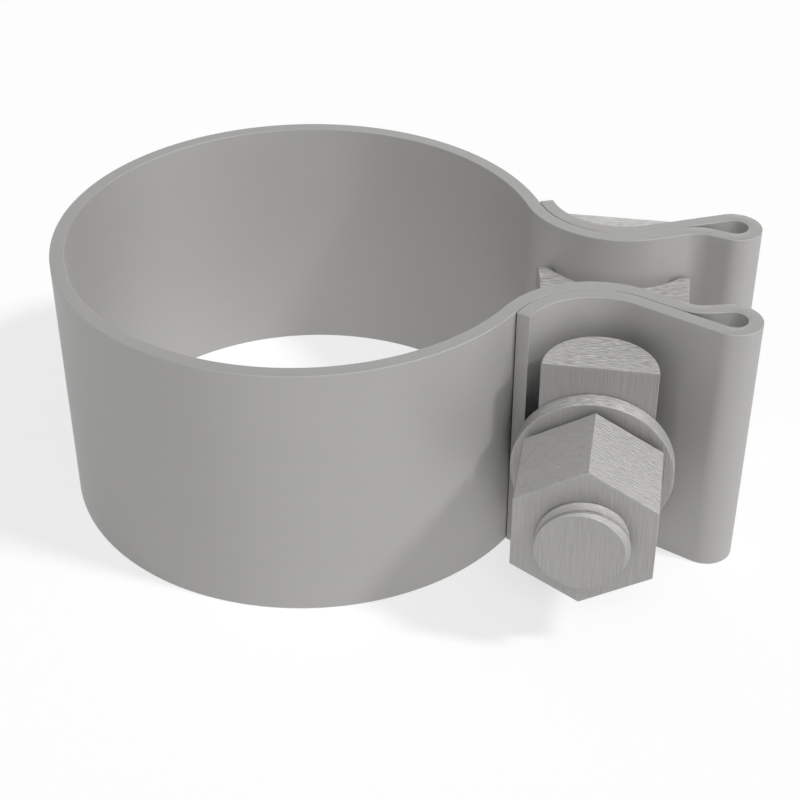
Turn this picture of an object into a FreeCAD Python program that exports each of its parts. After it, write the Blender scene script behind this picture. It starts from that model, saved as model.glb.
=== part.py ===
import FreeCAD, Part
import math
import os

# Flat-band exhaust clamp, in millimetres.
# The pipe bore's axis is Z and the band stands on its lower edge at Z = 0.
# The two ears reach out along +X, and the bolt runs through them along Y,
# with its nut on the -Y side. The origin is the bore's centre at the lower edge.

# Band
BORE_D = 51.9          # pipe bore of the band, as supplied, before it is tightened
BAND_W = 30.0          # width of the strip, and so the height of the clamp
STRIP_T = 1.55         # thickness of the strip
LAYER_GAP = 0.35       # thin space left between the two layers of an ear
EAR_SLOT = 8.9         # narrowest space between the two ears
CREST_R = 3.6          # radius of the crest outside the hollow, on the slot's side
CREST_OUT = 9.62       # from the hollow's centre out to the crest's centre
CREST_GAP = 0.25       # from the crest to the outer layer that runs over it
FOLD_R = 1.45          # inside radius of the fold at an ear's outer end
FOLD_OUT = 13.2        # from the hollow's centre out to the fold's centre
FOLD_DROP = 5.75       # from the hollow's centre towards the slot, to the fold's centre
END_WRAP_DEG = 21.3    # how far the outer layer wraps past the hollow's centre
EAR_HOLE_CLEAR = 0.5   # beside the bolt, in the ears' holes

# Bolt, nut and washer
BOLT_D = 9.525         # 3/8 in thread, major diameter
HEX_AF = 14.29         # 9/16 in across the flats, on head and nut
HEAD_T = 5.95          # height of the bolt's head
NUT_T = 10.0           # height of the nut's hexagon
NUT_FACE_T = 0.9       # height of the round bearing face under the nut
NUT_FACE_D = 13.0      # diameter of that face
NUT_CLEAR = 0.05       # beside the bolt, in the nut
TIP_OUT = 2.05         # bolt's end, past the nut
TIP_CHAMFER = 0.25     # at the bolt's end
WASHER_RIM = 0.25      # washer's rim, past the corners of the nut and the head
WASHER_T = 2.0         # thickness of the washer
WASHER_CLEAR = 0.3     # beside the bolt, in the washer
BOLT_OUT = 0.32        # bolt's axis, outward of the hollows' centres

# Half-round bars
BAR_SIDE = 1.2375      # from the bolt's side to the bar's side
BAR_L = 23.3           # length of a bar
BAR_CLEAR = 0.2        # beside the bolt, in a bar's hole
HOLLOW_PLAY = 1.5      # radius of an ear's hollow, more than the bar's radius
BAR_PLAY = 1.9         # from a bar to the bottom of its hollow, bolt not tightened

# Reaction block
BLOCK_L = 19.5         # length of the block
BLOCK_OUT = 8.6        # from the bolt's axis to the block's outer face
BLOCK_WEB_CLEAR = 1.35 # from the block's thinnest place to each ear
HORN_CLEAR = 0.8       # from the block's horns up to the ears over them
HORN_R = 0.45          # rounding of the horns' corners
BLOCK_BORE_CLEAR = 0.1 # the block's pipe side stands this far behind the bore
BLOCK_HOLE_CLEAR = 0.25 # beside the bolt, in the block

# Modelling
SAME_PLACE = 1e-6      # places closer than this are one

# Worked out from the sizes above
HALF_T = STRIP_T / 2
RING_R = BORE_D / 2 + HALF_T
BAR_R = BOLT_D / 2 + BAR_SIDE
OUTER_LAYER_R = BAR_R + HOLLOW_PLAY + HALF_T
INNER_LAYER_R = OUTER_LAYER_R + STRIP_T + LAYER_GAP
EAR_R = INNER_LAYER_R + HALF_T
HOLLOW_Y = EAR_SLOT / 2 + EAR_R
HOLLOW = (math.sqrt((RING_R + INNER_LAYER_R) ** 2 - HOLLOW_Y ** 2), HOLLOW_Y)
FOLD = (HOLLOW[0] + FOLD_OUT, HOLLOW[1] - FOLD_DROP)
FOLD_BEND_R = FOLD_R + HALF_T
BOLT_X = HOLLOW[0] + BOLT_OUT
HEX_CORNER_R = HEX_AF / math.sqrt(3)
WASHER_R = HEX_CORNER_R + WASHER_RIM
MID_Z = BAND_W / 2
HOLLOW_FLOOR_Y = HOLLOW[1] - BAR_R - HOLLOW_PLAY
FLAT_Y = HOLLOW_FLOOR_Y + BAR_PLAY + BAR_R
WASHER_FACE_Y = FLAT_Y + WASHER_T
NUT_BACK_Y = WASHER_FACE_Y + NUT_FACE_T
NUT_FRONT_Y = NUT_BACK_Y + NUT_T
BOLT_END_Y = NUT_FRONT_Y + TIP_OUT


def spot(centre, radius, degrees):
    """Point on a circle in the plan, at Z = 0."""
    a = math.radians(degrees)
    return FreeCAD.Vector(centre[0] + radius * math.cos(a), centre[1] + radius * math.sin(a), 0)


def arc(centre, radius, start, end):
    """Arc in the plan between two angles, in degrees."""
    middle = (start + end) / 2
    return Part.Arc(
        spot(centre, radius, start), spot(centre, radius, middle), spot(centre, radius, end)
    ).toShape()


def run_heading(centre_a, centre_b, reach, turn):
    """Heading, in degrees, of the straight run between two bends that turn opposite ways.

    turn is that of the first bend: +1 to the left, -1 to the right.
    """
    dx, dy = centre_b[0] - centre_a[0], centre_b[1] - centre_a[1]
    run = math.sqrt(dx * dx + dy * dy - reach * reach)
    return math.degrees(math.atan2(dy, dx) + turn * math.atan2(reach, run))


def y_cylinder(x, z, radius, y_from, y_to):
    """Cylinder along Y, between two places in either order."""
    low = min(y_from, y_to)
    return Part.makeCylinder(
        radius, abs(y_to - y_from), FreeCAD.Vector(x, low, z), FreeCAD.Vector(0, 1, 0)
    )


def bolt_hole(clearance):
    """Clearance hole for the bolt, through everything on its axis."""
    return y_cylinder(BOLT_X, MID_Z, BOLT_D / 2 + clearance, -BOLT_END_Y, BOLT_END_Y)


def hexagon(y_from, y_to):
    """Hexagonal prism on the bolt's axis, with a corner at the top."""
    low = min(y_from, y_to)
    corners = []
    for i in range(7):
        a = math.radians(60 * i)
        corners.append(
            FreeCAD.Vector(
                BOLT_X + HEX_CORNER_R * math.sin(a), low, MID_Z + HEX_CORNER_R * math.cos(a)
            )
        )
    face = Part.Face(Part.makePolygon(corners))
    return face.extrude(FreeCAD.Vector(0, abs(y_to - y_from), 0))


def crest_centre():
    """Centre of the crest's bend, which leaves its gap under the outer layer's straight run."""
    back = math.radians(run_heading(FOLD, HOLLOW, FOLD_BEND_R + OUTER_LAYER_R, 1))
    under = HALF_T + CREST_GAP + STRIP_T + CREST_R - FOLD_BEND_R
    inward = CREST_OUT - FOLD_OUT
    y = FOLD[1] + (under + inward * math.sin(back)) / math.cos(back)
    return (HOLLOW[0] + CREST_OUT, y)


def ear_bends():
    """Bends of the ear on the +Y side: centre, centreline radius, start and end angle, turn.

    The strip leaves the ring, dips round the hollow, rises over the crest, folds
    back round its end and comes back outside itself, round the hollow again.
    """
    crest = crest_centre()
    crest_bend_r = CREST_R + HALF_T
    leave = math.degrees(math.atan2(HOLLOW[1], HOLLOW[0]))
    rise = run_heading(HOLLOW, crest, INNER_LAYER_R + crest_bend_r, 1)
    fall = run_heading(crest, FOLD, crest_bend_r + FOLD_BEND_R, -1)
    back = run_heading(FOLD, HOLLOW, FOLD_BEND_R + OUTER_LAYER_R, 1)
    return [
        ((0, 0), RING_R, 180.0, leave, -1),
        (HOLLOW, INNER_LAYER_R, leave + 180, rise + 270, 1),
        (crest, crest_bend_r, rise + 90, fall + 90, -1),
        (FOLD, FOLD_BEND_R, fall - 90, back - 90, 1),
        (HOLLOW, OUTER_LAYER_R, back + 90, END_WRAP_DEG + 180, -1),
    ]


def strip_side(side):
    """Edges of one face of the half strip: side +1 is left of its run, -1 is right."""
    edges = []
    last = None
    for centre, radius, start, end, turn in ear_bends():
        r = radius - side * turn * HALF_T
        first = spot(centre, r, start)
        if last is not None and last.distanceToPoint(first) > SAME_PLACE:
            edges.append(Part.makeLine(last, first))
        edges.append(arc(centre, r, start, end))
        last = spot(centre, r, end)
    return edges, last


def band():
    """One strip: an open ring whose two ends are folded into doubled ears."""
    left, left_end = strip_side(1)
    right, right_end = strip_side(-1)
    half = left + right + [Part.makeLine(left_end, right_end)]
    mirrored = [e.mirror(FreeCAD.Vector(0, 0, 0), FreeCAD.Vector(0, 1, 0)) for e in half]
    outline = Part.Wire(Part.__sortEdges__(half + mirrored))
    strip = Part.Face(outline).extrude(FreeCAD.Vector(0, 0, BAND_W))
    return strip.cut(bolt_hole(EAR_HOLE_CLEAR))


def reaction_block():
    """Steel block between the ears, hollow on both sides to nest with them.

    Its four horns reach out sideways, under the ears' roots at the bore and
    under the crests. Its side at the bore is round, so that the pipe passes.
    """
    web = EAR_SLOT / 2 - BLOCK_WEB_CLEAR
    cheek_r = EAR_R - STRIP_T
    cheek = (BOLT_X, web + cheek_r)
    bore_r = BORE_D / 2 + BLOCK_BORE_CLEAR
    outer_x = BOLT_X + BLOCK_OUT
    root_y = HOLLOW[1] - math.sqrt(EAR_R ** 2 - (HOLLOW[0] - bore_r) ** 2)
    crest_y = crest_centre()[1] + CREST_R
    horn_y = min(root_y, crest_y) - HORN_CLEAR
    inner_x = math.sqrt(bore_r ** 2 - horn_y ** 2)
    half = math.sqrt(cheek_r ** 2 - (cheek[1] - horn_y) ** 2)
    tip = [
        FreeCAD.Vector(inner_x, horn_y, 0), FreeCAD.Vector(BOLT_X - half, horn_y, 0),
        FreeCAD.Vector(BOLT_X, web, 0), FreeCAD.Vector(BOLT_X + half, horn_y, 0),
        FreeCAD.Vector(outer_x, horn_y, 0),
    ]
    low = [FreeCAD.Vector(p.x, -p.y, 0) for p in tip]
    edges = [
        Part.makeLine(tip[0], tip[1]), Part.Arc(tip[1], tip[2], tip[3]).toShape(),
        Part.makeLine(tip[3], tip[4]), Part.makeLine(tip[4], low[4]),
        Part.makeLine(low[4], low[3]), Part.Arc(low[3], low[2], low[1]).toShape(),
        Part.makeLine(low[1], low[0]),
        Part.Arc(low[0], FreeCAD.Vector(bore_r, 0, 0), tip[0]).toShape(),
    ]
    block = Part.Face(Part.Wire(edges)).extrude(FreeCAD.Vector(0, 0, BLOCK_L))
    corners = [
        e for e in block.Edges
        if abs(abs(e.BoundBox.YMin) - horn_y) < SAME_PLACE and e.BoundBox.ZLength > BLOCK_L / 2
    ]
    block = block.makeFillet(HORN_R, corners)
    block.translate(FreeCAD.Vector(0, 0, MID_Z - BLOCK_L / 2))
    return block.cut(bolt_hole(BLOCK_HOLE_CLEAR))


def half_round_bar(side):
    """Half-round bar in an ear's hollow: side +1 or -1, its flat facing outward."""
    round_bar = Part.makeCylinder(
        BAR_R, BAR_L, FreeCAD.Vector(BOLT_X, side * FLAT_Y, MID_Z - BAR_L / 2)
    )
    inside = Part.makeBox(2 * BAR_R, BAR_R, BAR_L)
    y_low = side * FLAT_Y - (BAR_R if side > 0 else 0)
    inside.translate(FreeCAD.Vector(BOLT_X - BAR_R, y_low, MID_Z - BAR_L / 2))
    return round_bar.common(inside).cut(bolt_hole(BAR_CLEAR))


def bolt():
    """Hex bolt: its head bears on the +Y bar and its end stands out of the nut."""
    shank = y_cylinder(BOLT_X, MID_Z, BOLT_D / 2, -BOLT_END_Y, FLAT_Y)
    rim = [e for e in shank.Edges if e.BoundBox.YMax < -BOLT_END_Y + TIP_CHAMFER]
    shank = shank.makeChamfer(TIP_CHAMFER, rim)
    return shank.fuse(hexagon(FLAT_Y, FLAT_Y + HEAD_T)).removeSplitter()


def washer():
    """Thick plain washer on the -Y bar's flat."""
    disc = y_cylinder(BOLT_X, MID_Z, WASHER_R, -FLAT_Y, -WASHER_FACE_Y)
    return disc.cut(bolt_hole(WASHER_CLEAR))


def nut():
    """Tall hex nut with a round bearing face against the washer."""
    face = y_cylinder(BOLT_X, MID_Z, NUT_FACE_D / 2, -WASHER_FACE_Y, -NUT_BACK_Y)
    body = face.fuse(hexagon(-NUT_BACK_Y, -NUT_FRONT_Y))
    return body.cut(bolt_hole(NUT_CLEAR)).removeSplitter()


PIECES = {
    "band": band(),
    "reaction_block": reaction_block(),
    "nut_side_bar": half_round_bar(-1),
    "head_side_bar": half_round_bar(1),
    "bolt": bolt(),
    "washer": washer(),
    "nut": nut(),
}

os.makedirs("parts", exist_ok=True)
for name, shape in PIECES.items():
    solid = shape.Solids[0]
    print(name, "solids", len(shape.Solids), "valid", shape.isValid(), "volume", round(solid.Volume, 1))
    solid.exportStep("parts/" + name + ".step")
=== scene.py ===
import bpy
import math
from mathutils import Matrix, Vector


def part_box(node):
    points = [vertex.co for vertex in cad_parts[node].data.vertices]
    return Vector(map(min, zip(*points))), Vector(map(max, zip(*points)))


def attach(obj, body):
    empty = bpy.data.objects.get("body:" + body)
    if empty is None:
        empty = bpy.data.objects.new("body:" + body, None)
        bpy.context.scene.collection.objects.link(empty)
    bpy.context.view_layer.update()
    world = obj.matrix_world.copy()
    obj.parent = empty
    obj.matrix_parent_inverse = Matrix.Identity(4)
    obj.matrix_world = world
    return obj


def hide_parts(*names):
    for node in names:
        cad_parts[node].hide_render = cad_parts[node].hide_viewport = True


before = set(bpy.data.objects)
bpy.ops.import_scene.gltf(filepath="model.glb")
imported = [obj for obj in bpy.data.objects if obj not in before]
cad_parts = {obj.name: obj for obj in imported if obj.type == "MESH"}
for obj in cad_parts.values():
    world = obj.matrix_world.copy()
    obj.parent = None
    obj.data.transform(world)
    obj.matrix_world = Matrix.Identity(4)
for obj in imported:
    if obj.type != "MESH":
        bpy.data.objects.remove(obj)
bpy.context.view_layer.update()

# The band is one strip of stainless sheet, rolled into an open ring. Each end is bent
# out round a bar into an ear, folded back and laid over its own outside, and the
# bolt's holes are punched through both layers. Its slit edges are only just rounded.
MM = 0.001
RIGHT_ANGLE = math.pi / 2
STRIP_T = 1.55 * MM
STRIP_EDGE_R = 0.07 * MM
SLOT_HALF = 4.45 * MM          # half the narrowest space between the ears
INNER_BEND_R = 10.175 * MM     # centreline of the layer beside the slot, round the hollow
OUTER_BEND_R = 8.55 * MM       # centreline of the layer laid back over it
CREST = Vector((43.153, 3.809)) * MM
CREST_BEND_R = 4.375 * MM
FOLD_Y = 9.65 * MM
FOLD_BEND_R = 2.225 * MM
END_WRAP = math.radians(21.3)  # how far the outer layer wraps past the hollow
BEND_STEP = math.radians(2.5)
SHORTEST_RUN = 0.01 * MM       # bends that end closer together have no straight run between
EAR_HOLE_R = 5.26 * MM
DRILL_L = 100 * MM

band_low, band_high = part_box("band")
bolt_low, bolt_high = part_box("bolt")
strip_w = band_high.z - band_low.z
ring_r = -band_low.x - STRIP_T / 2
hollow_y = SLOT_HALF + INNER_BEND_R + STRIP_T / 2
hollow = Vector((math.sqrt((ring_r + INNER_BEND_R) ** 2 - hollow_y ** 2), hollow_y))
fold = Vector((band_high.x - FOLD_BEND_R - STRIP_T / 2, FOLD_Y))
axis_x = (bolt_low.x + bolt_high.x) / 2
axis_z = (bolt_low.z + bolt_high.z) / 2


def on_bend(centre, radius, angle):
    """Point of a bend's centreline."""
    return centre + radius * Vector((math.cos(angle), math.sin(angle)))


def run_heading(centre_a, centre_b, reach, turn):
    """Heading of the straight run between two bends that turn opposite ways."""
    along = centre_b - centre_a
    run = math.sqrt(along.length_squared - reach ** 2)
    return math.atan2(along.y, along.x) + turn * math.atan2(reach, run)


def pick_points(piece, wanted):
    """Goes into edit mode with only the points selected that wanted accepts."""
    bpy.ops.object.mode_set(mode="EDIT")
    bpy.ops.mesh.select_mode(type="VERT")
    bpy.ops.mesh.select_all(action="DESELECT")
    bpy.ops.object.mode_set(mode="OBJECT")
    for point in piece.data.vertices:
        point.select = wanted(point.co)
    bpy.ops.object.mode_set(mode="EDIT")


def name_new(name):
    """Names the primitive just added, and sets its place into its mesh."""
    piece = bpy.context.object
    piece.name = name
    bpy.ops.object.transform_apply(location=True, rotation=True, scale=True)
    return piece


def shape_by(piece, kind, **settings):
    """Adds a modifier to the piece and applies it."""
    bpy.ops.object.select_all(action="DESELECT")
    piece.select_set(True)
    bpy.context.view_layer.objects.active = piece
    modifier = piece.modifiers.new(kind.lower(), kind)
    for name, value in settings.items():
        setattr(modifier, name, value)
    bpy.ops.object.modifier_apply(modifier=modifier.name)


def cut_with(piece, tool, operation="DIFFERENCE"):
    """Cuts the piece with another mesh, which is then thrown away."""
    shape_by(piece, "BOOLEAN", operation=operation, solver="EXACT", object=tool)
    bpy.data.objects.remove(tool)


def add_round(radius, depth, place, vertices):
    """Adds a cylinder that lies along the bolt's axis, and nothing else selected."""
    bpy.ops.object.select_all(action="DESELECT")
    bpy.ops.mesh.primitive_cylinder_add(
        vertices=vertices, radius=radius, depth=depth, location=place, rotation=(RIGHT_ANGLE, 0, 0),
    )
    return bpy.context.object


def drill(piece, radius):
    """Drills a hole along the bolt's axis, right through the piece."""
    cut_with(piece, add_round(radius, DRILL_L, (axis_x, 0, axis_z), vertices=128))


def round_edges(piece, radius, sharper_than=30):
    """Rounds the edges that are sharper than an angle, in degrees, by a small radius."""
    shape_by(
        piece, "BEVEL", limit_method="ANGLE", angle_limit=math.radians(sharper_than),
        width=radius, segments=3, use_clamp_overlap=False,
    )


def shade(piece, smooth_below=32):
    """Shades curves smooth, and keeps the flat faces flat up to their rounded edges."""
    bpy.ops.object.shade_smooth_by_angle(angle=math.radians(smooth_below))
    shape_by(piece, "WEIGHTED_NORMAL", keep_sharp=True, weight=60)


leave = math.atan2(hollow.y, hollow.x)
rise = run_heading(hollow, CREST, INNER_BEND_R + CREST_BEND_R, 1)
fall = run_heading(CREST, fold, CREST_BEND_R + FOLD_BEND_R, -1)
back = run_heading(fold, hollow, FOLD_BEND_R + OUTER_BEND_R, 1)
bends = [
    (Vector((0, 0)), ring_r, math.pi - BEND_STEP / 2, leave),
    (hollow, INNER_BEND_R, leave + math.pi, rise + 3 * RIGHT_ANGLE),
    (CREST, CREST_BEND_R, rise + RIGHT_ANGLE, fall + RIGHT_ANGLE),
    (fold, FOLD_BEND_R, fall - RIGHT_ANGLE, back - RIGHT_ANGLE),
    (hollow, OUTER_BEND_R, back + RIGHT_ANGLE, END_WRAP + math.pi),
]

# A first facet of strip stands opposite the slot, and grows both ways along its bends.
bpy.ops.object.select_all(action="DESELECT")
bpy.ops.mesh.primitive_plane_add(
    size=strip_w, rotation=(RIGHT_ANGLE, 0, RIGHT_ANGLE),
    location=(-ring_r * math.cos(BEND_STEP / 2), 0, strip_w / 2),
)
band = name_new("band_strip")
bpy.ops.object.mode_set(mode="EDIT")
first_facet = 2 * ring_r * math.sin(BEND_STEP / 2)
bpy.ops.transform.resize(value=(1, first_facet / strip_w, 1), center_override=(0, 0, 0))
for side in (1, -1):
    pick_points(band, lambda point: point.y * side > 0)
    here = on_bend(*bends[0][:3])
    for centre, radius, start, end in bends:
        run = on_bend(centre, radius, start) - here
        if run.length > SHORTEST_RUN:
            bpy.ops.mesh.extrude_region_move(TRANSFORM_OT_translate={"value": (run.x, run.y * side, 0)})
        turn = end - start
        bpy.ops.mesh.spin(
            steps=math.ceil(abs(turn) / BEND_STEP), angle=-turn * side,
            center=(centre.x, centre.y * side, 0), axis=(0, 0, 1),
        )
        here = on_bend(centre, radius, end)
bpy.ops.mesh.select_all(action="SELECT")
bpy.ops.mesh.normals_make_consistent(inside=False)
bpy.ops.object.mode_set(mode="OBJECT")
shape_by(band, "SOLIDIFY", thickness=STRIP_T, offset=0, use_even_offset=True)
round_edges(band, STRIP_EDGE_R, sharper_than=60)
drill(band, EAR_HOLE_R)
shade(band)

# The strip's finish is the mill's satin: a matt grey with faint rolling lines along the
# strip, and slow changes of tone where it was handled and bent. Its slit edges, which face
# up and down, are darkened with painted shade.
STEEL_GREY = (0.385, 0.380, 0.371)
METAL_SHARE = 0.4
FACE_SPREAD = 0.015            # how far the lines and the clouds each change the tone
LINE_DEPTH = 0.01 * MM
SLIT_EDGE_SHADE = 0.9
GAP_REACH = 6 * MM             # how near a neighbour has to be to darken a spot with painted shade
GAP_STARTS_Y = 6 * MM
GAP_FULL_Y = 8 * MM
GAP_END_X = 47.5 * MM
GAP_SHUT = 0.2                 # share of open surroundings at which a spot is darkest
GAP_OPEN = 0.7                 # share from which it gets no painted shade
GAP_FADE = 0.3


def new_material(name):
    """Material with its shader, and the place on the piece that its patterns read."""
    material = bpy.data.materials.new(name)
    material.use_nodes = True
    place = material.node_tree.nodes.new("ShaderNodeTexCoord")
    return material, material.node_tree.nodes["Principled BSDF"], place


def add_node(material, kind, inputs, **settings):
    """Adds a node, with its settings, and sets or links its inputs."""
    node = material.node_tree.nodes.new("ShaderNode" + kind)
    for name, value in settings.items():
        setattr(node, name, value)
    for name, value in inputs.items():
        if isinstance(value, bpy.types.NodeSocket):
            material.node_tree.links.new(value, node.inputs[name])
        else:
            node.inputs[name].default_value = value
    return node


def grain(material, place, scale, detail, distortion):
    """Noise drawn out by a scale for each axis, in waves per metre."""
    stretched = add_node(material, "Mapping", {"Vector": place.outputs["Object"], "Scale": scale})
    return add_node(material, "TexNoise", {
        "Vector": stretched.outputs["Vector"], "Scale": 1.0, "Detail": detail,
        "Roughness": 0.55, "Distortion": distortion,
    }).outputs["Fac"]


def spread(material, value, low, high):
    """Turns a noise of 0 to 1 into a range of values."""
    return add_node(material, "MapRange", {
        "Value": value, "From Min": 0.25, "From Max": 0.75, "To Min": low, "To Max": high,
    }).outputs["Result"]


def level_share(material, place):
    """1 on the piece's tops and undersides, 0 on its upright sides."""
    facing = add_node(material, "SeparateXYZ", {"Vector": place.outputs["Normal"]})
    return add_node(material, "Math", {0: facing.outputs["Z"]}, operation="ABSOLUTE").outputs[0]


def painted_gap_shade(material, place, tone):
    """Darkens a tone with painted shade where close neighbours stand.

    The table and the open slot between the ears don't count as neighbours, and the strip
    in the folds' loops hardly does.
    """
    spot = add_node(material, "SeparateXYZ", {"Vector": place.outputs["Object"]}).outputs
    sideways = add_node(material, "Math", {0: spot["Y"]}, operation="ABSOLUTE").outputs[0]
    past_slot = add_node(material, "MapRange", {
        "Value": sideways, "From Min": GAP_STARTS_Y, "From Max": GAP_FULL_Y, "To Max": GAP_REACH,
    }).outputs["Result"]
    to_fold = add_node(material, "Math", {0: GAP_END_X, 1: spot["X"]}, operation="SUBTRACT").outputs[0]
    reach = past_slot
    for limit in (spot["Z"], to_fold):
        reach = add_node(material, "Math", {0: reach, 1: limit}, operation="MINIMUM").outputs[0]
    # Painted shade: the grey is darkened by how shut in each spot is by its neighbours.
    shut_in = add_node(material, "AmbientOcclusion", {"Distance": reach}, samples=16)
    open_part = add_node(material, "MapRange", {
        "Value": shut_in.outputs["AO"], "From Min": GAP_SHUT, "From Max": GAP_OPEN,
    }).outputs["Result"]
    gap_shade = add_node(material, "Math", {0: open_part, 1: GAP_FADE}, operation="POWER").outputs[0]
    return add_node(material, "Math", {0: tone, 1: gap_shade}, operation="MULTIPLY").outputs[0]


def finish_steel(material, shader, place, tone, roughness, relief):
    """Gives the shader the steel's grey by a tone, darkened with painted shade in the gaps, its
    roughness and its relief.
    """
    colour = add_node(material, "VectorMath", {
        0: STEEL_GREY, "Scale": painted_gap_shade(material, place, tone),
    }, operation="SCALE")
    links = material.node_tree.links
    links.new(colour.outputs[0], shader.inputs["Base Color"])
    links.new(roughness, shader.inputs["Roughness"])
    links.new(relief.outputs[0], shader.inputs["Normal"])
    shader.inputs["Metallic"].default_value = METAL_SHARE
    return material


def strip_steel():
    """Satin rolled stainless, with painted shade on its slit edges and in its gaps."""
    material, shader, place = new_material("strip_steel")
    lines = grain(material, place, scale=(60, 60, 2600), detail=3, distortion=0.2)
    clouds = grain(material, place, scale=(45, 45, 60), detail=4, distortion=0.6)
    face_tone = add_node(material, "Math", {
        0: spread(material, lines, 1 - FACE_SPREAD, 1 + FACE_SPREAD),
        1: spread(material, clouds, 1 - FACE_SPREAD, 1 + FACE_SPREAD),
    }, operation="MULTIPLY").outputs[0]
    # Painted shade: the strip's faces that look up and down are made darker.
    slit_edge_shade = add_node(material, "MapRange", {
        "Value": level_share(material, place), "From Min": 0.3, "From Max": 0.8,
        "To Min": 1.0, "To Max": SLIT_EDGE_SHADE,
    }).outputs["Result"]
    tone = add_node(material, "Math", {0: face_tone, 1: slit_edge_shade}, operation="MULTIPLY").outputs[0]
    roughness = spread(material, clouds, 0.50, 0.58)
    relief = add_node(material, "Bump", {"Strength": 0.12, "Distance": LINE_DEPTH, "Height": lines})
    return finish_steel(material, shader, place, tone, roughness, relief)


band.data.materials.append(strip_steel())
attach(band, "band")
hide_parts("band")

# The reaction block is a length of steel bar between the ears. Both flanks are milled
# hollow to nest with the ears, and the side at the pipe is bored to clear it.
BLOCK_EDGE_R = 0.2 * MM
CHEEK_R = 9.4 * MM
CHEEK_Y = 12.5 * MM
PIPE_SIDE_R = 26.05 * MM
BLOCK_HOLE_R = 5.01 * MM

block_low, block_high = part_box("reaction_block")
block_middle = (block_low + block_high) / 2
bpy.ops.object.select_all(action="DESELECT")
bpy.ops.mesh.primitive_cube_add(size=1, location=block_middle)
block = name_new("reaction_block_steel")
bpy.ops.object.mode_set(mode="EDIT")
bpy.ops.transform.resize(value=block_high - block_low, center_override=block_middle)
bpy.ops.object.mode_set(mode="OBJECT")
for radius, x, y in ((CHEEK_R, axis_x, CHEEK_Y), (CHEEK_R, axis_x, -CHEEK_Y), (PIPE_SIDE_R, 0, 0)):
    bpy.ops.object.select_all(action="DESELECT")
    bpy.ops.mesh.primitive_cylinder_add(
        vertices=256, radius=radius, depth=2 * strip_w, location=(x, y, axis_z)
    )
    cut_with(block, bpy.context.object)
drill(block, BLOCK_HOLE_R)
round_edges(block, BLOCK_EDGE_R)
shade(block)

# The block, the bars and the fasteners are cut from drawn steel and brushed. The brush
# leaves wavy lines across the tops and fine upright lines on the sides.
UPRIGHT_LINES = (7200, 7200, 260)   # waves per metre
TOP_LINES = (900, 6000, 1800)
SIDE_STREAKS = 0.07                 # how far the upright lines change the tone
SIDE_RELIEF = 0.18                  # depth of the upright lines, as a share of the top ones'
BRUSH_DEPTH = 0.2 * MM


def brushed_steel(name, sides=0.955, tops=1.16, streaks=0.42):
    """Brushed steel, with the lines of its faces set by which way they look, and painted light and
    shade: sides and tops scale the grey of its upright and level faces.
    """
    material, shader, place = new_material(name)
    upright = grain(material, place, UPRIGHT_LINES, detail=2, distortion=0.0)
    across = grain(material, place, TOP_LINES, detail=2, distortion=0.15)
    on_top = add_node(material, "MapRange", {
        "Value": level_share(material, place), "From Min": 0.55, "From Max": 1.0,
    }).outputs["Result"]
    # Painted light and shade: level and upright faces get their grey scaled apart, as light falls on
    # them.
    tone = add_node(material, "Mix", {
        "Factor": on_top,
        "A": spread(material, upright, (1 - SIDE_STREAKS) * sides, (1 + SIDE_STREAKS) * sides),
        "B": spread(material, across, (1 - streaks) * tops, (1 + streaks) * tops),
    }).outputs["Result"]
    height = add_node(material, "Mix", {
        "Factor": on_top, "A": spread(material, upright, 0.0, SIDE_RELIEF), "B": across,
    }).outputs["Result"]
    roughness = spread(material, across, 0.46, 0.56)
    relief = add_node(material, "Bump", {"Strength": 1.0, "Distance": BRUSH_DEPTH, "Height": height})
    return finish_steel(material, shader, place, tone, roughness, relief)


# The block's tops get painted light, its sides painted shade.
block.data.materials.append(brushed_steel("block_steel"))
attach(block, "band")
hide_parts("reaction_block")

# The half-round bars are sawn from round bar that is ground to half its thickness. Each
# lies in an ear's hollow with its flat outwards, and is drilled for the bolt.
BAR_EDGE_R = 0.12 * MM
BAR_HOLE_R = 4.96 * MM

# The bars' sides get a deep painted shade, their tops painted light.
bar_steel = brushed_steel("bar_steel", sides=0.76, tops=1.16)
for node, side in (("nut_side_bar", -1), ("head_side_bar", 1)):
    bar_low, bar_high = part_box(node)
    flat_y = bar_high.y if side > 0 else bar_low.y
    bpy.ops.object.select_all(action="DESELECT")
    bpy.ops.mesh.primitive_cylinder_add(
        vertices=160, radius=(bar_high.x - bar_low.x) / 2, depth=bar_high.z - bar_low.z,
        location=(axis_x, flat_y, (bar_low.z + bar_high.z) / 2),
    )
    bar = name_new(node + "_steel")
    bpy.ops.object.mode_set(mode="EDIT")
    bpy.ops.mesh.select_all(action="SELECT")
    bpy.ops.mesh.bisect(
        plane_co=(axis_x, flat_y, axis_z), plane_no=(0, side, 0), use_fill=True, clear_outer=True
    )
    bpy.ops.object.mode_set(mode="OBJECT")
    drill(bar, BAR_HOLE_R)
    round_edges(bar, BAR_EDGE_R)
    shade(bar)
    bar.data.materials.append(bar_steel)
    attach(bar, node)
    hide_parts(node)

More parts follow.
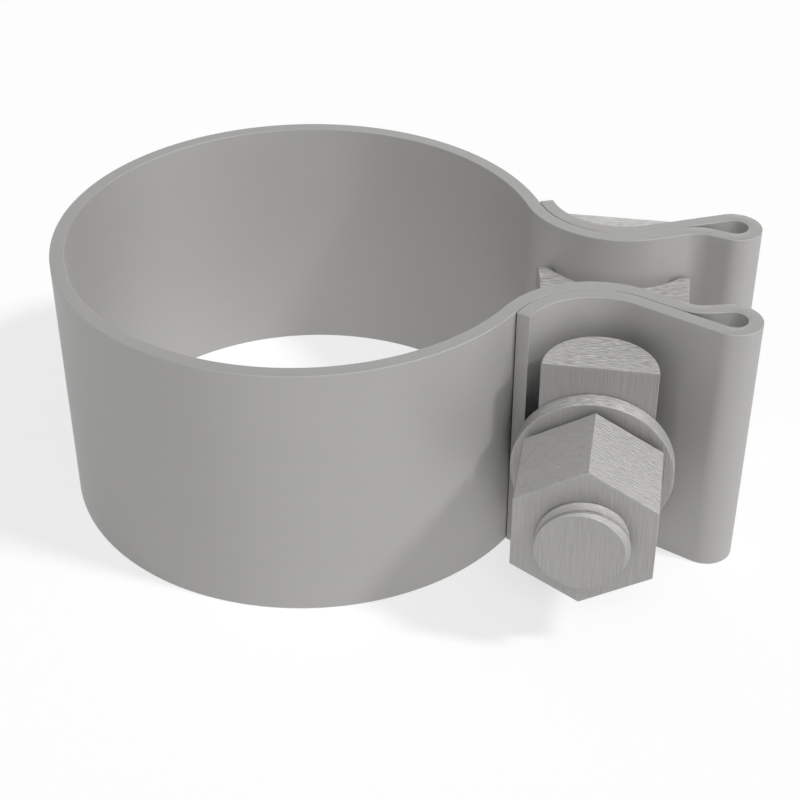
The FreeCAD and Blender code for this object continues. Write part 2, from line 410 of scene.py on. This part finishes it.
# The bolt is a hex bolt with a rolled 16 to the inch thread over the nut's half. Its
# head is forged with bevelled corners, and bears on the far bar's flat.
PITCH = 25.4 / 16 * MM
BOLT_R = 4.7625 * MM
THREAD_DEPTH = 0.5 * MM
THREAD_L = 28.6 * MM
THREAD_ROOT = 0.12             # shares of the pitch that the thread's root, its slopes and
THREAD_SLOPE = 0.30            # its crest take up
THREAD_CREST = 0.28
SPARE_TURNS = 3                # cut off at the two ends of the thread
SKIN = 0.02 * MM               # by which the blank is wider than the thread, the shank narrower
TIP_BEVEL = 0.15 * MM
HEX_CORNER_R = 8.25 * MM
HEAD_FACE_R = 6.8 * MM         # flat left in the middle of the head's end
HEAD_BEVEL = math.radians(30)  # slope of the bevel round it
HEX_EDGE_R = 0.1 * MM
HEAD_OVERLAP = 0.6 * MM        # the shank runs this far into the head and the thread

head_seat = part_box("head_side_bar")[1].y
head_t = bolt_high.y - head_seat
head_middle = (axis_x, (bolt_high.y + head_seat) / 2, axis_z)
tip_y = bolt_low.y
thread_end = tip_y + THREAD_L


def screw_thread(name, root_r):
    """Rod with the bolt's thread, cut off square at the bolt's tip and where the shank starts."""
    bpy.ops.object.select_all(action="DESELECT")
    bpy.ops.mesh.primitive_plane_add(size=MM)
    rod = name_new(name)
    bpy.ops.object.mode_set(mode="EDIT")
    bpy.ops.mesh.select_all(action="SELECT")
    bpy.ops.mesh.merge(type="CENTER")
    bpy.ops.transform.translate(value=(root_r, 0, 0))
    for out, along in (
        (0, THREAD_ROOT), (THREAD_DEPTH, THREAD_SLOPE), (0, THREAD_CREST), (-THREAD_DEPTH, THREAD_SLOPE),
    ):
        bpy.ops.mesh.extrude_region_move(TRANSFORM_OT_translate={"value": (out, 0, along * PITCH)})
    bpy.ops.object.mode_set(mode="OBJECT")
    shape_by(
        rod, "SCREW", screw_offset=PITCH, iterations=math.ceil(THREAD_L / PITCH) + SPARE_TURNS,
        steps=72, render_steps=72, use_merge_vertices=True, merge_threshold=0.001 * MM,
    )
    bpy.ops.object.mode_set(mode="EDIT")
    bpy.ops.mesh.select_all(action="SELECT")
    bpy.ops.mesh.remove_doubles(threshold=0.002 * MM)
    for height, outward in ((PITCH, -1), (PITCH + THREAD_L, 1)):
        bpy.ops.mesh.select_all(action="SELECT")
        bpy.ops.mesh.bisect(
            plane_co=(0, 0, height), plane_no=(0, 0, outward), use_fill=True, clear_outer=True
        )
    bpy.ops.mesh.select_all(action="SELECT")
    bpy.ops.mesh.normals_make_consistent(inside=False)
    bpy.ops.object.mode_set(mode="OBJECT")
    rod.rotation_euler = (-RIGHT_ANGLE, 0, 0)
    rod.location = (axis_x, tip_y - PITCH, axis_z)
    bpy.ops.object.transform_apply(location=True, rotation=True, scale=True)
    return rod


bolt = screw_thread("bolt_steel", BOLT_R - THREAD_DEPTH)
blank_l = THREAD_L + 2 * PITCH
add_round(BOLT_R + SKIN, blank_l, (axis_x, tip_y + blank_l / 2, axis_z), vertices=144)
blank = name_new("bolt_blank")
round_edges(blank, TIP_BEVEL)
cut_with(bolt, blank, operation="INTERSECT")

add_round(
    BOLT_R - SKIN, head_seat - thread_end + 2 * HEAD_OVERLAP,
    (axis_x, (head_seat + thread_end) / 2, axis_z), vertices=144,
)
shank = name_new("bolt_shank")
add_round(HEX_CORNER_R, head_t, head_middle, vertices=6)
head = name_new("bolt_head")
bpy.ops.object.select_all(action="DESELECT")
bpy.ops.mesh.primitive_cone_add(
    vertices=128, radius1=HEAD_FACE_R + head_t / math.tan(HEAD_BEVEL), radius2=HEAD_FACE_R,
    depth=head_t, location=head_middle, rotation=(-RIGHT_ANGLE, 0, 0),
)
cut_with(head, bpy.context.object, operation="INTERSECT")
round_edges(head, HEX_EDGE_R, sharper_than=40)
cut_with(bolt, shank, operation="UNION")
cut_with(bolt, head, operation="UNION")
shade(bolt, smooth_below=40)
# The bolt's tops get painted shade, darker than its sides.
bolt.data.materials.append(brushed_steel("bolt_steel", tops=0.8, streaks=0.2))
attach(bolt, "bolt")
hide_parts("bolt")

# The washer is stamped from thick plate, with rounded edges where the punch drew it in.
# It lies on the near bar's flat, under the nut.
WASHER_EDGE_R = 0.08 * MM
WASHER_HOLE_R = 5.06 * MM

washer_low, washer_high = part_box("washer")
add_round(
    (washer_high.x - washer_low.x) / 2, washer_high.y - washer_low.y,
    (washer_low + washer_high) / 2, vertices=192,
)
washer = name_new("washer_steel")
drill(washer, WASHER_HOLE_R)
round_edges(washer, WASHER_EDGE_R)
shade(washer)
# The washer's tops get strong painted light, its sides painted shade.
washer.data.materials.append(brushed_steel("washer_steel", tops=1.4))
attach(washer, "washer")
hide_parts("washer")

# The nut is a tall hexagon turned from bar and tapped for the bolt, with a round bearing
# face that holds it off the washer. Its corners are left square, as the real one's are.
NUT_FACE_T = 0.9 * MM
NUT_FACE_R = 6.5 * MM
THREAD_ROOM = 0.03 * MM        # play between the nut's thread and the bolt's

nut_low, nut_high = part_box("nut")
hex_back = nut_high.y - NUT_FACE_T
add_round(
    HEX_CORNER_R, hex_back - nut_low.y, (axis_x, (hex_back + nut_low.y) / 2, axis_z), vertices=6
)
nut = name_new("nut_steel")
cut_with(
    nut, add_round(NUT_FACE_R, 2 * NUT_FACE_T, (axis_x, hex_back, axis_z), vertices=128),
    operation="UNION",
)
round_edges(nut, HEX_EDGE_R)
cut_with(nut, screw_thread("nut_tap", BOLT_R - THREAD_DEPTH + THREAD_ROOM))
shade(nut)
# The nut's tops get painted light, its sides painted shade.
nut.data.materials.append(brushed_steel("nut_steel", tops=1.16, streaks=0.15))
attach(nut, "nut")
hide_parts("nut")

# The clamp is shown on a plain white table under soft studio lamps, seen from the front
# and above, with its bolt to the right.
CAMERA_DOWN = 0.6159           # radians
CAMERA_TURN = 0.16694
LAMPS = [
    # name, degrees to the right of the front, degrees up, softness, strength, casts shadows
    ("key", 79, 48, 8, 1.65, True),
    ("front", 8, 46, 25, 0.76, True),
    ("right_fill", 78, 0, 30, 0.9, False),
    ("front_fill", 0, 0, 30, 0.54, False),
    ("left_fill", -90, 0, 30, 0.2, False),
    ("back_fill", 180, 0, 30, 0.75, False),
]
SKY_LIGHT = 0.3
SKY_SHOWN = 0.97
FLOOR_DROP = 0.02 * MM         # keeps the floor out of the band's lower edge
FLOOR_GREY = (0.4, 0.4, 0.4, 1)
FLOOR_GLOW = 0.62              # lifts the floor to white for the camera alone
WHITE = (1, 1, 1, 1)

bpy.ops.object.camera_add(
    location=(0.03708, -0.15617, 0.12114), rotation=(RIGHT_ANGLE - CAMERA_DOWN, 0, CAMERA_TURN),
)
camera = bpy.context.object
camera.data.sensor_width = 36
camera.data.lens = 75.21
camera.data.clip_start = 0.01
camera.data.clip_end = 50
bpy.context.scene.camera = camera

for name, right, up, softness, strength, shadows in LAMPS:
    bpy.ops.object.light_add(
        type="SUN", rotation=(RIGHT_ANGLE - math.radians(up), 0, math.radians(right))
    )
    lamp = bpy.context.object
    lamp.name = name
    lamp.data.angle = math.radians(softness)
    lamp.data.energy = strength
    lamp.data.use_shadow = shadows


def looked_at(painted):
    """1 for what the camera, a reflection or a clear piece looks at, 0 for light that falls."""
    ray = add_node(painted, "LightPath", {})
    look = ray.outputs["Is Camera Ray"]
    for kind in ("Is Glossy Ray", "Is Transmission Ray"):
        look = add_node(painted, "Math", {0: look, 1: ray.outputs[kind]}, operation="MAXIMUM").outputs[0]
    return look


world = bpy.data.worlds.new("studio")
bpy.context.scene.world = world
world.use_nodes = True
sky_strength = add_node(world, "MapRange", {
    "Value": looked_at(world), "To Min": SKY_LIGHT, "To Max": SKY_SHOWN,
}).outputs["Result"]
sky = world.node_tree.nodes["Background"]
sky.inputs["Color"].default_value = WHITE
world.node_tree.links.new(sky_strength, sky.inputs["Strength"])

bpy.ops.object.select_all(action="DESELECT")
bpy.ops.mesh.primitive_plane_add(size=6, location=(0, 0, -FLOOR_DROP))
floor = bpy.context.object
floor.name = "floor"
floor_paint, floor_shader, _ = new_material("floor_paint")
floor_shader.inputs["Base Color"].default_value = FLOOR_GREY
floor_shader.inputs["Roughness"].default_value = 1.0
floor_shader.inputs["Specular IOR Level"].default_value = 0.0
floor_shader.inputs["Emission Color"].default_value = WHITE
glow = add_node(floor_paint, "Math", {
    0: looked_at(floor_paint), 1: FLOOR_GLOW,
}, operation="MULTIPLY").outputs[0]
floor_paint.node_tree.links.new(glow, floor_shader.inputs["Emission Strength"])
floor.data.materials.append(floor_paint)

bpy.context.scene.view_settings.view_transform = "Standard"
